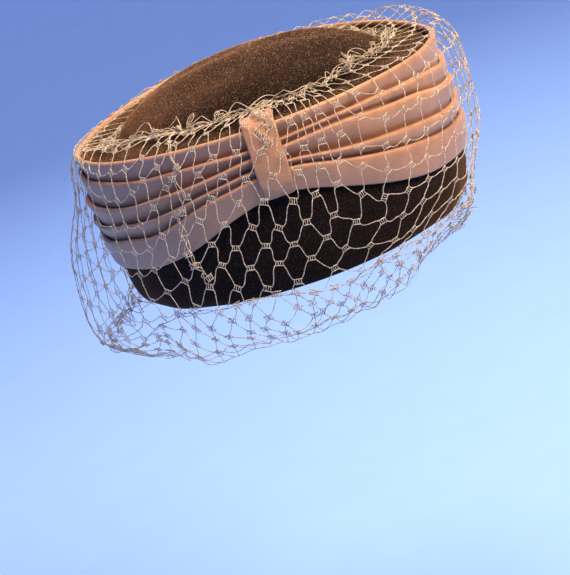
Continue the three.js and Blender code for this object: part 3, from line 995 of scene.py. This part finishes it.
class NetForm:
    """The curved surface that the net hangs on, and the lattice of its knots."""

    LIMIT = math.pi * NET_RADIUS  # half of the way round
    FAMILY_STEPS = 4001
    LOOSE_ALONG = (0, 28, 60)
    LOOSE = (0.2, 0.4, 1.2, 2.2)  # how far the net strays in and out there, and at its end
    LOOSE_WAVE = 70
    LOOSE_DOWN = 0.6  # how much less it strays up and down
    LOOSE_DOWN_WAVE = 55

    def __init__(self, mesh):
        rows = np.array([row[1:] for row in NET_ROWS], float)
        self.columns = dict(zip(NetRow._fields[1:], rows.T))
        steps = np.hypot(np.diff(self.columns["front"]), np.diff(self.columns["height"]))
        self.along = np.concatenate([[0], np.cumsum(steps)])
        self.depth = self.along[-1]
        self.right = self.family(RIGHT_SLANTS, mesh, 1)
        self.left = self.family(LEFT_SLANTS, mesh, -1)

    def column(self, name, along):
        """One column of the net's rows at a distance along it."""
        return smooth_curve(self.along, self.columns[name], along)

    def row(self, name):
        """How far along the net one of its rows lies."""
        return self.along[[row.name for row in NET_ROWS].index(name)]

    def low_edge(self, around):
        """How far along the net its regular meshes end."""
        turns, places = zip(*LAST_MESHES)
        return smooth_curve(turns, places, degrees_from_front(around / NET_RADIUS))

    def surface(self, flat, out=0):
        """Points of the net from distances round it and along it, and how far they stand out."""
        turn, along = flat[..., 0] / NET_RADIUS, flat[..., 1]
        ahead, aside = np.cos(turn), np.sin(turn)
        radius = (
            np.where(ahead > 0, self.column("front", along), self.column("back", along)) * ahead ** 2
            + np.where(aside > 0, self.column("right", along), self.column("left", along)) * aside ** 2
        )
        height = self.column("height", along) + self.column("rise", along) * edge_rise(turn)
        for lift in LIFTS:
            height += self.lifted(lift, turn, along)
        radius += self.lifted(BULGE, turn, along)
        drawn = np.clip(1 - along / self.row("edge"), 0, 1)
        middle = bunch(turn)
        radius += drawn * (middle[0] - self.columns["front"][0])
        height += drawn * (middle[1] - self.columns["height"][0])
        loose = np.interp(along, [*self.LOOSE_ALONG, self.depth], self.LOOSE)
        field = np.stack([NET_RADIUS * aside, NET_RADIUS * ahead, along], -1)
        radius += loose * ripple(field, 1, self.LOOSE_WAVE, seed=11) + out
        height += self.LOOSE_DOWN * loose * ripple(field, 1, self.LOOSE_DOWN_WAVE, seed=12)
        return hat_points(turn, radius, height)

    def lifted(self, lift, turn, along):
        """How far a lift moves the net at a turn and a distance along it."""
        return self.column(lift.name, along) * (lift.up * bell(turn, lift.turn, lift.spread))

    def span(self, flat, way):
        """A short way in the flat as a vector on the net."""
        return (self.surface(flat + way) - self.surface(flat - way)) / 2

    def family(self, slants, mesh, side):
        """A family's way in the flat, as its place and direction at each number of knots."""
        knots = np.linspace(slants[0].knot, slants[-1].knot, self.FAMILY_STEPS)
        slant = np.radians(np.interp(knots, [s.knot for s in slants], [s.degrees for s in slants]))
        way = mesh * np.stack([side * np.sin(slant), np.cos(slant)], -1)
        steps = (way[1:] + way[:-1]) / 2 * (knots[1] - knots[0])
        place = np.concatenate([[(0, 0)], np.cumsum(steps, axis=0)])
        start = [np.interp(0, knots, place[:, k]) for k in (0, 1)]
        return knots, place - start, way

    def read(self, family, which, knots):
        """The place (1) or the direction (2) of a family at numbers of knots."""
        return np.stack([np.interp(knots, family[0], family[which][:, k]) for k in (0, 1)], -1)

    def place(self, right, left):
        """Where a knot lies in the flat."""
        return FIRST_KNOT + self.read(self.right, 1, right) + self.read(self.left, 1, left)

    def inside(self, flat):
        """Whether places lie on the regular meshes of the net."""
        level = (flat[..., 1] > 0) & (flat[..., 1] < self.low_edge(flat[..., 0]))
        return level & (np.abs(flat[..., 0]) < self.LIMIT)


def bent(start, end, start_way, end_way, steps):
    """Smooth paths between points, leaving and arriving in given directions."""
    t = np.linspace(0, 1, steps)[:, None]
    first, second = start + start_way, end - end_way
    parts = [start, first, second, end]
    weights = [(1 - t) ** 3, 3 * t * (1 - t) ** 2, 3 * t ** 2 * (1 - t), t ** 3]
    return sum(part[:, None] * weight for part, weight in zip(parts, weights))


def add_knots(bag, centre, across, down):
    """Wrapped knots about their middles: two bars and the wraps between them."""
    width = settings("net").thread / MM
    bars = [np.stack([centre - across + down * end, centre + across + down * end], 1) for end in (-1, 1)]
    bag.add(np.concatenate(bars), width * BAR_WIDTH)
    wraps = []
    for k, place in enumerate(KNOT_WRAPS):
        slip = WRAP_SLIPS[k % 2]
        top = centre + across * (place - slip) - down * WRAP_REACH
        wraps.append(np.stack([top, centre + across * (place + slip) + down * WRAP_REACH], 1))
    bag.add(np.concatenate(wraps), width * WRAP_WIDTH)


def knot_halves(turned):
    """Halves of knots across and down in the flat, turned by angles in radians."""
    look = settings("net")
    across = np.stack([np.cos(turned), np.sin(turned)], -1) * look.knot_width / MM / 2
    down = np.stack([-np.sin(turned), np.cos(turned)], -1) * look.knot_height / MM / 2
    return across, down


class HAT_OT_heading(bpy.types.Operator):
    """Makes the heading, where the net is gathered into a tangled bunch round the tip."""

    bl_idname = "hat.heading"
    bl_label = "Gathered heading"

    RADIUS = 76  # the radius at which a distance along the bunch is measured
    STRAY = 1.1  # how far a strand strays from the middle
    SWAG = 1.4  # how far the bunch swags between the stitches that hold it
    SWAGS = range(14, 30)
    STEPS = 560
    WAVES = range(12, 70)  # of a strand in one round
    KNOTS = 56
    KNOT_STRAY = 1.4
    CRUSHED = 0.65  # size of a knot that is crushed in the bunch
    CLEAR = 0.5  # how far the threads keep above the felt
    LOOP_STEPS = 13
    LOOP_TURNS = (-92, 135)  # where loops are strewn, in degrees
    LOOP_HALF_WIDTHS = (2.5, 10)
    LOOP_HEIGHTS = (1.5, 5)
    LOOP_LEANS = (-10, 140)  # degrees up from lying outwards
    LOOP_STRAY = 1.2
    CURLED = 0.35  # share of the loops that are curled
    CURLS = (1, 2.5)
    SPIKE_LOOPS = 2
    SPIKE_SHARES = (0.6, 1)
    SPIKE_HALF_WIDTHS = (0.6, 1.3)
    SPIKE_STRAY = 0.5
    SPIKE_IN = 0.25  # how far a spike leans in, as a share of its height
    # The felt that the bunch lies on: radius and height
    FELT = [(61, 92.4), (69.5, 86.6), (73, 80.8), (77, 80), (92.5, 80.2)]
    # Places where the loops crowd: turn in degrees, spread, and how much taller they are
    CROWDS = [Crowd(-64, 12, 1.8), Crowd(0, 5, 1.2), Crowd(42, 6, 1.4), Crowd(64, 14, 1.9)]
    # Spikes of doubled thread that stand up: turn in degrees, height, and lean along the bunch
    SPIKES = [Spike(-25, 8, 3.5), Spike(-13, 4, 1), Spike(43, 5, -6), Spike(50, 6, -8)]

    def execute(self, context):
        look = settings("net")
        width = look.thread / MM
        random = np.random.default_rng(31)
        bag = ThreadBag()
        turn = np.linspace(-math.pi, math.pi, self.STEPS)
        for k in range(look.strands):
            aside = wander(turn, self.STRAY, self.WAVES, seed=70 + k)
            above = wander(turn, self.STRAY, self.WAVES, seed=170 + k)
            bag.add(self.place(turn, aside, above)[None], width)
        self.add_loops(bag, look.loops, width, random)
        for spike in self.SPIKES:
            self.add_spike(bag, spike, width, random)
        at = random.uniform(-math.pi, math.pi, self.KNOTS)
        centre = self.place(at, *random.normal(scale=self.KNOT_STRAY, size=(2, self.KNOTS)))
        across = unit(random.normal(size=(self.KNOTS, 3)))
        down = unit(np.cross(across, random.normal(size=(self.KNOTS, 3))))
        half = self.CRUSHED / MM / 2
        add_knots(bag, centre, across * look.knot_width * half, down * look.knot_height * half)
        bag.piece("net_heading", shared_material(net_yarn), "tan_net")
        return {"FINISHED"}

    def place(self, turn, aside, above):
        """Points of the bunch from a turn, and how far they lie outside and above its middle."""
        middle = bunch(turn)
        radius = middle[0] + wander(turn, self.SWAG, self.SWAGS, seed=29) + aside
        ground = np.interp(radius, *zip(*self.FELT)) + self.CLEAR
        return hat_points(turn, radius, np.maximum(middle[1] + above, ground) + edge_rise(turn))

    def add_loops(self, bag, count, width, random):
        """Loose loops that lie out over the ledge, stand up, or lean on the tip."""
        crowd = random.integers(0, 2 * len(self.CROWDS), count)
        at = random.uniform(*self.LOOP_TURNS, count)
        taller = np.ones(count)
        for k, place in enumerate(self.CROWDS):
            at = np.where(crowd == k, random.normal(place.turn, place.spread, count), at)
            taller = np.where(crowd == k, place.taller, taller)
        t = np.linspace(0, 1, self.LOOP_STEPS)
        wide = random.uniform(*self.LOOP_HALF_WIDTHS, (count, 1))
        tall = random.uniform(*self.LOOP_HEIGHTS, (count, 1)) * taller[:, None]
        lean = np.radians(random.uniform(*self.LOOP_LEANS, (count, 1)))
        curled = random.uniform(size=(count, 1)) < self.CURLED
        curl = np.where(curled, random.uniform(*self.CURLS, (count, 1)), 0)
        along = wide * (2 * t - 1) + curl * np.sin(2 * math.pi * t)
        rise = tall * np.sin(math.pi * t)
        base = random.normal(scale=self.LOOP_STRAY, size=(2, count, 1))
        bag.add(self.place(
            np.radians(at)[:, None] + along / self.RADIUS,
            base[0] + rise * np.cos(lean), base[1] + rise * np.sin(lean),
        ), width)

    def add_spike(self, bag, spike, width, random):
        """A few narrow loops that stand up together."""
        t = np.linspace(0, 1, self.LOOP_STEPS)
        rise = np.sin(math.pi * t)
        for _ in range(self.SPIKE_LOOPS):
            share = random.uniform(*self.SPIKE_SHARES)
            half = random.uniform(*self.SPIKE_HALF_WIDTHS)
            along = half * np.sin(2 * math.pi * t) + spike.lean * rise
            aside = random.normal(scale=self.SPIKE_STRAY) - self.SPIKE_IN * spike.up * rise
            turn = math.radians(spike.turn) + along / self.RADIUS
            bag.add(self.place(turn, aside, 1 + share * spike.up * rise)[None], width)


class HAT_OT_hem(bpy.types.Operator):
    """Makes the crumpled lowest meshes of the net and its curled, bunched hem."""

    bl_idname = "hat.hem"
    bl_label = "Curled hem"

    COLUMNS = 50
    CROWDED = 0.34  # how much closer the crumpled columns are at the front
    # Rows of crumpled knots, as shares of the way from the regular meshes to the hem, and past it
    ROWS = (0, 0.28, 0.55, 0.88, 1.25)
    CURL_SHARE = 0.6  # the share past the hem at which the curl ends
    KNOT_ROWS = 4  # rows whose knots are still whole
    KNOT_TURN = 0.6  # how far a crumpled knot is turned, in radians
    STRAY_ROUND = 1.6
    STRAY = 1.1
    THREAD_STEPS = 6
    SLACK = (-0.6, 1.6)  # how far a thread hangs between two knots
    STRAND_STEPS = 420
    STRAND_WAVES = range(9, 50)  # in one round
    STRAND_SEED = 300
    # Strands that run round: share of the way to the hem, number of strands, and how far they stray
    STRANDS = [Strand(0, 2, 0.5), Strand(0.97, 2, 1.8), Strand(1.3, 1, 1.4)]

    def execute(self, context):
        look = settings("net")
        form = NetForm(look.mesh / MM)
        random = np.random.default_rng(53)
        bag = ThreadBag()
        flat, out = self.crumpled(form, random)
        self.add_threads(bag, form, flat, out, random)
        self.add_strands(bag, form)
        turned = random.normal(scale=self.KNOT_TURN, size=flat.shape[:2])
        across, down = knot_halves(turned)
        parts = form.surface(flat, out), form.span(flat, across), form.span(flat, down)
        add_knots(bag, *(part[:self.KNOT_ROWS].reshape(-1, 3) for part in parts))
        hem = bag.piece("net_curled_hem", shared_material(net_yarn), "tan_net")
        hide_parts("net_hem")
        return {"FINISHED"}

    def level(self, form, around, share):
        """How far along the net a share of the way from the regular meshes to the hem lies."""
        low, hem = form.low_edge(around), form.row("hem")
        curled = hem + (form.depth - hem) * (share - 1) / self.CURL_SHARE
        return np.where(share <= 1, low + (hem - low) * share, curled)

    def crumpled(self, form, random):
        """Rows of knots in the flat, and how far each stands out."""
        rows = np.arange(len(self.ROWS))[:, None]
        part = (np.arange(self.COLUMNS) + 0.5 * (rows % 2)) * 2 / self.COLUMNS - 1
        around = form.LIMIT * (part - self.CROWDED * np.sin(math.pi * part) / math.pi)
        around = around + random.normal(scale=self.STRAY_ROUND, size=around.shape)
        along = self.level(form, around, np.array(self.ROWS)[:, None])
        along = along + random.normal(scale=self.STRAY, size=along.shape)
        return np.stack([around, along], -1), random.normal(scale=self.STRAY, size=along.shape)

    def add_threads(self, bag, form, flat, out, random):
        """Threads from each knot to the two below it."""
        t = np.linspace(0, 1, self.THREAD_STEPS)
        whole = np.array([2 * form.LIMIT, 0])
        for row in range(len(self.ROWS) - 1):
            for step in ((0, 1) if row % 2 else (-1, 0)):
                to = np.arange(self.COLUMNS) + step
                lap = to // self.COLUMNS
                start, end = flat[row], flat[row + 1][to % self.COLUMNS] + lap[:, None] * whole
                stand = out[row][:, None] * (1 - t) + out[row + 1][to % self.COLUMNS][:, None] * t
                path = start[:, None] * (1 - t)[:, None] + end[:, None] * t[:, None]
                path[..., 1] += random.uniform(*self.SLACK, (self.COLUMNS, 1)) * np.sin(math.pi * t)
                bag.add(form.surface(path, stand), settings("net").thread / MM)

    def add_strands(self, bag, form):
        """Strands that draw the crumpled meshes together."""
        turn = np.linspace(-math.pi, math.pi, self.STRAND_STEPS)
        around = turn * NET_RADIUS
        seed = self.STRAND_SEED
        for strand in self.STRANDS:
            for _ in range(strand.count):
                stray, out = (wander(turn, strand.stray, self.STRAND_WAVES, seed + k) for k in (0, 1))
                along = self.level(form, around, strand.share) + stray
                flat = np.stack([around, np.minimum(along, form.depth)], -1)
                bag.add(form.surface(flat, out)[None], settings("net").thread / MM)
                seed += 2


class HAT_OT_net(bpy.types.Operator):
    """Makes the threads and knots of the net veil, and the folds and the seam in it."""

    bl_idname = "hat.net"
    bl_label = "Net veil"

    THREAD_STEPS = 7
    CURVE_STEPS = 41  # of a whole thread, before what lies off the net is cut away
    EXIT = 0.85  # where a thread leaves a knot, in halves of the knot
    SAG = 0.5  # how far a level thread sags between its knots
    TILT = 0.16  # how far a knot is turned in the net, in radians
    JITTER = 0.75  # how far a knot strays from its place
    CORNER = (0.75, 1.4)  # how a thread leaves a knot, across and down, in halves of the knot
    FOLD_STEPS = 70
    FOLD_TURN = 6  # the waves of a fold's strands are those in this much of a round, in radians
    FOLD_WAVES = range(1, 9)
    FOLD_OUT = 0.5  # how far a fold stands out of the net
    FOLD_OUT_WAVES = range(2, 12)
    CLUMP_STRAY = 1.4
    SEAM_STEPS = 90
    SEAM_SPACING = 1.2
    SEAM_WAVE = 0.9
    SEAM_PITCH = 1.1  # radians of a seam's wave in a millimetre
    # Folds that are caught in the net: their strands and how far these stray, their lines as distances
    # round and along the net, and the steps of a fold where knots are crushed together
    FOLDS = [
        Fold(400, 2, 1.4, [(-58, 4), (-50, 25), (-48, 39), (-51, 55), (-52, 68), (-50, 80), (-46, 86)],
             [8, 19, 21, 34, 47, 58, 68]),
        Fold(420, 3, 2.2, [(-2, 6), (3, 12), (1, 18), (4, 24), (2, 30), (3, 36)], [22, 34, 40, 52]),
    ]

    def execute(self, context):
        look = settings("net")
        form = NetForm(look.mesh / MM)
        counts = [np.arange(slants[0].knot, slants[-1].knot) for slants in (RIGHT_SLANTS, LEFT_SLANTS)]
        right, left = np.meshgrid(*counts, indexing="ij")
        flat = form.place(right, left)
        random = np.random.default_rng(17)
        flat = flat + random.normal(scale=self.JITTER, size=flat.shape)
        ways = form.read(form.right, 2, right), form.read(form.left, 2, left)
        level, upright = unit(ways[0] - ways[1]), unit(ways[0] + ways[1])
        tilt = random.normal(scale=self.TILT, size=(*right.shape, 1))
        across = (level * np.cos(tilt) + upright * np.sin(tilt)) * look.knot_width / MM / 2
        down = (upright * np.cos(tilt) - level * np.sin(tilt)) * look.knot_height / MM / 2
        bag = ThreadBag()
        inside = form.inside(flat)
        for axis, side in ((0, 1), (1, -1)):
            here = tuple(slice(None, -1) if k == axis else slice(None) for k in (0, 1))
            there = tuple(slice(1, None) if k == axis else slice(None) for k in (0, 1))
            shown = inside[here] | inside[there]
            start = (flat[here] + across[here] * side * self.EXIT + down[here])[shown]
            end = (flat[there] - across[there] * side * self.EXIT - down[there])[shown]
            ways = across * side * self.CORNER[0] + down * self.CORNER[1]
            curves = bent(start, end, ways[here][shown], ways[there][shown], self.CURVE_STEPS)
            paths = self.cut(form, curves)
            reach = paths[:, -1] - paths[:, 0]
            level = np.abs(reach[:, 0]) / np.maximum(np.linalg.norm(reach, axis=-1), 1e-6)
            hang = np.sin(np.linspace(0, math.pi, self.THREAD_STEPS))
            paths[..., 1] += self.SAG * (level ** 2)[:, None] * hang
            bag.add(form.surface(paths), look.thread / MM)
        middle = flat[inside]
        add_knots(
            bag, form.surface(middle), form.span(middle, across[inside]), form.span(middle, down[inside]),
        )
        random = np.random.default_rng(61)
        for fold in self.FOLDS:
            self.add_fold(bag, form, look, fold, random)
        self.add_seam(bag, form, look)
        net = bag.piece("net_mesh", shared_material(net_yarn), "tan_net")
        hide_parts("net_veil")
        return {"FINISHED"}

    def cut(self, form, paths):
        """The stretch of each thread that lies on the net."""
        on = form.inside(paths)
        steps = paths.shape[1]
        first = on.argmax(1)
        last = steps - 1 - on[:, ::-1].argmax(1)
        keep = on.any(1) & (last > first + 2)
        at = np.linspace(first[keep], last[keep], self.THREAD_STEPS, axis=1)
        low = np.minimum(at.astype(int), steps - 2)
        share = (at - low)[..., None]
        rows = np.arange(keep.sum())[:, None]
        kept = paths[keep]
        return kept[rows, low] * (1 - share) + kept[rows, low + 1] * share

    def add_fold(self, bag, form, look, fold, random):
        """Strands and crushed knots along a caught fold."""
        knots = np.linspace(0, 1, len(fold.line))
        t = np.linspace(0, 1, self.FOLD_STEPS)
        line = np.stack([smooth_curve(knots, column, t) for column in zip(*fold.line)], -1)
        for seed in range(fold.seed, fold.seed + fold.count):
            aside = wander(t * self.FOLD_TURN, fold.stray, self.FOLD_WAVES, seed)
            stray = np.stack([aside, t * 0], -1)
            out = wander(t * self.FOLD_TURN, self.FOLD_OUT, self.FOLD_OUT_WAVES, seed + 100)
            bag.add(form.surface(line + stray, out)[None], look.thread / MM)
        middle = line[fold.clumps] + random.normal(scale=self.CLUMP_STRAY, size=(len(fold.clumps), 2))
        turned = random.uniform(0, math.pi, len(fold.clumps))
        across, down = knot_halves(turned)
        centre = form.surface(middle, self.FOLD_OUT)
        add_knots(bag, centre, form.span(middle, across), form.span(middle, down))

    def add_seam(self, bag, form, look):
        """Strands that whip the two ends of the net together at the back."""
        along = np.linspace(0, form.low_edge(np.array(form.LIMIT)), self.SEAM_STEPS)
        for k, side in enumerate((-1, 0, 1)):
            wave = self.SEAM_WAVE * np.sin(along * self.SEAM_PITCH + 2 * k)
            around = form.LIMIT + self.SEAM_SPACING * side + wave
            bag.add(form.surface(np.stack([around, along], -1))[None], look.thread / MM)


CLASSES = [
    *SETTINGS.values(), HAT_OT_stage, HAT_OT_hood, HAT_OT_fibres, HAT_OT_band, HAT_OT_tab,
    HAT_OT_heading, HAT_OT_hem, HAT_OT_net,
]


class HAT_PT_sidebar(bpy.types.Panel):
    """Lists the pieces of the hat."""

    bl_idname = "HAT_PT_sidebar"
    bl_label = "Veiled felt hat"
    bl_space_type = "VIEW_3D"
    bl_region_type = "UI"
    bl_category = "Hat"

    def draw(self, context):
        for kind in CLASSES:
            if issubclass(kind, bpy.types.Operator):
                self.layout.operator(kind.bl_idname)


def register():
    """Registers the classes and hangs the settings on the scene."""
    for kind in [*CLASSES, HAT_PT_sidebar]:
        bpy.utils.register_class(kind)
    for name, kind in SETTINGS.items():
        setattr(bpy.types.Scene, "hat_" + name, PointerProperty(type=kind))


def unregister():
    """Takes the settings and the classes away."""
    for name in SETTINGS:
        delattr(bpy.types.Scene, "hat_" + name)
    for kind in [HAT_PT_sidebar, *reversed(CLASSES)]:
        bpy.utils.unregister_class(kind)


def main():
    """Dresses the hat."""
    register()
    bpy.ops.hat.stage()
    bpy.ops.hat.hood()
    bpy.ops.hat.fibres()
    bpy.ops.hat.band()
    bpy.ops.hat.tab()
    bpy.ops.hat.heading()
    bpy.ops.hat.hem()
    bpy.ops.hat.net()


if __name__ == "__main__":
    main()
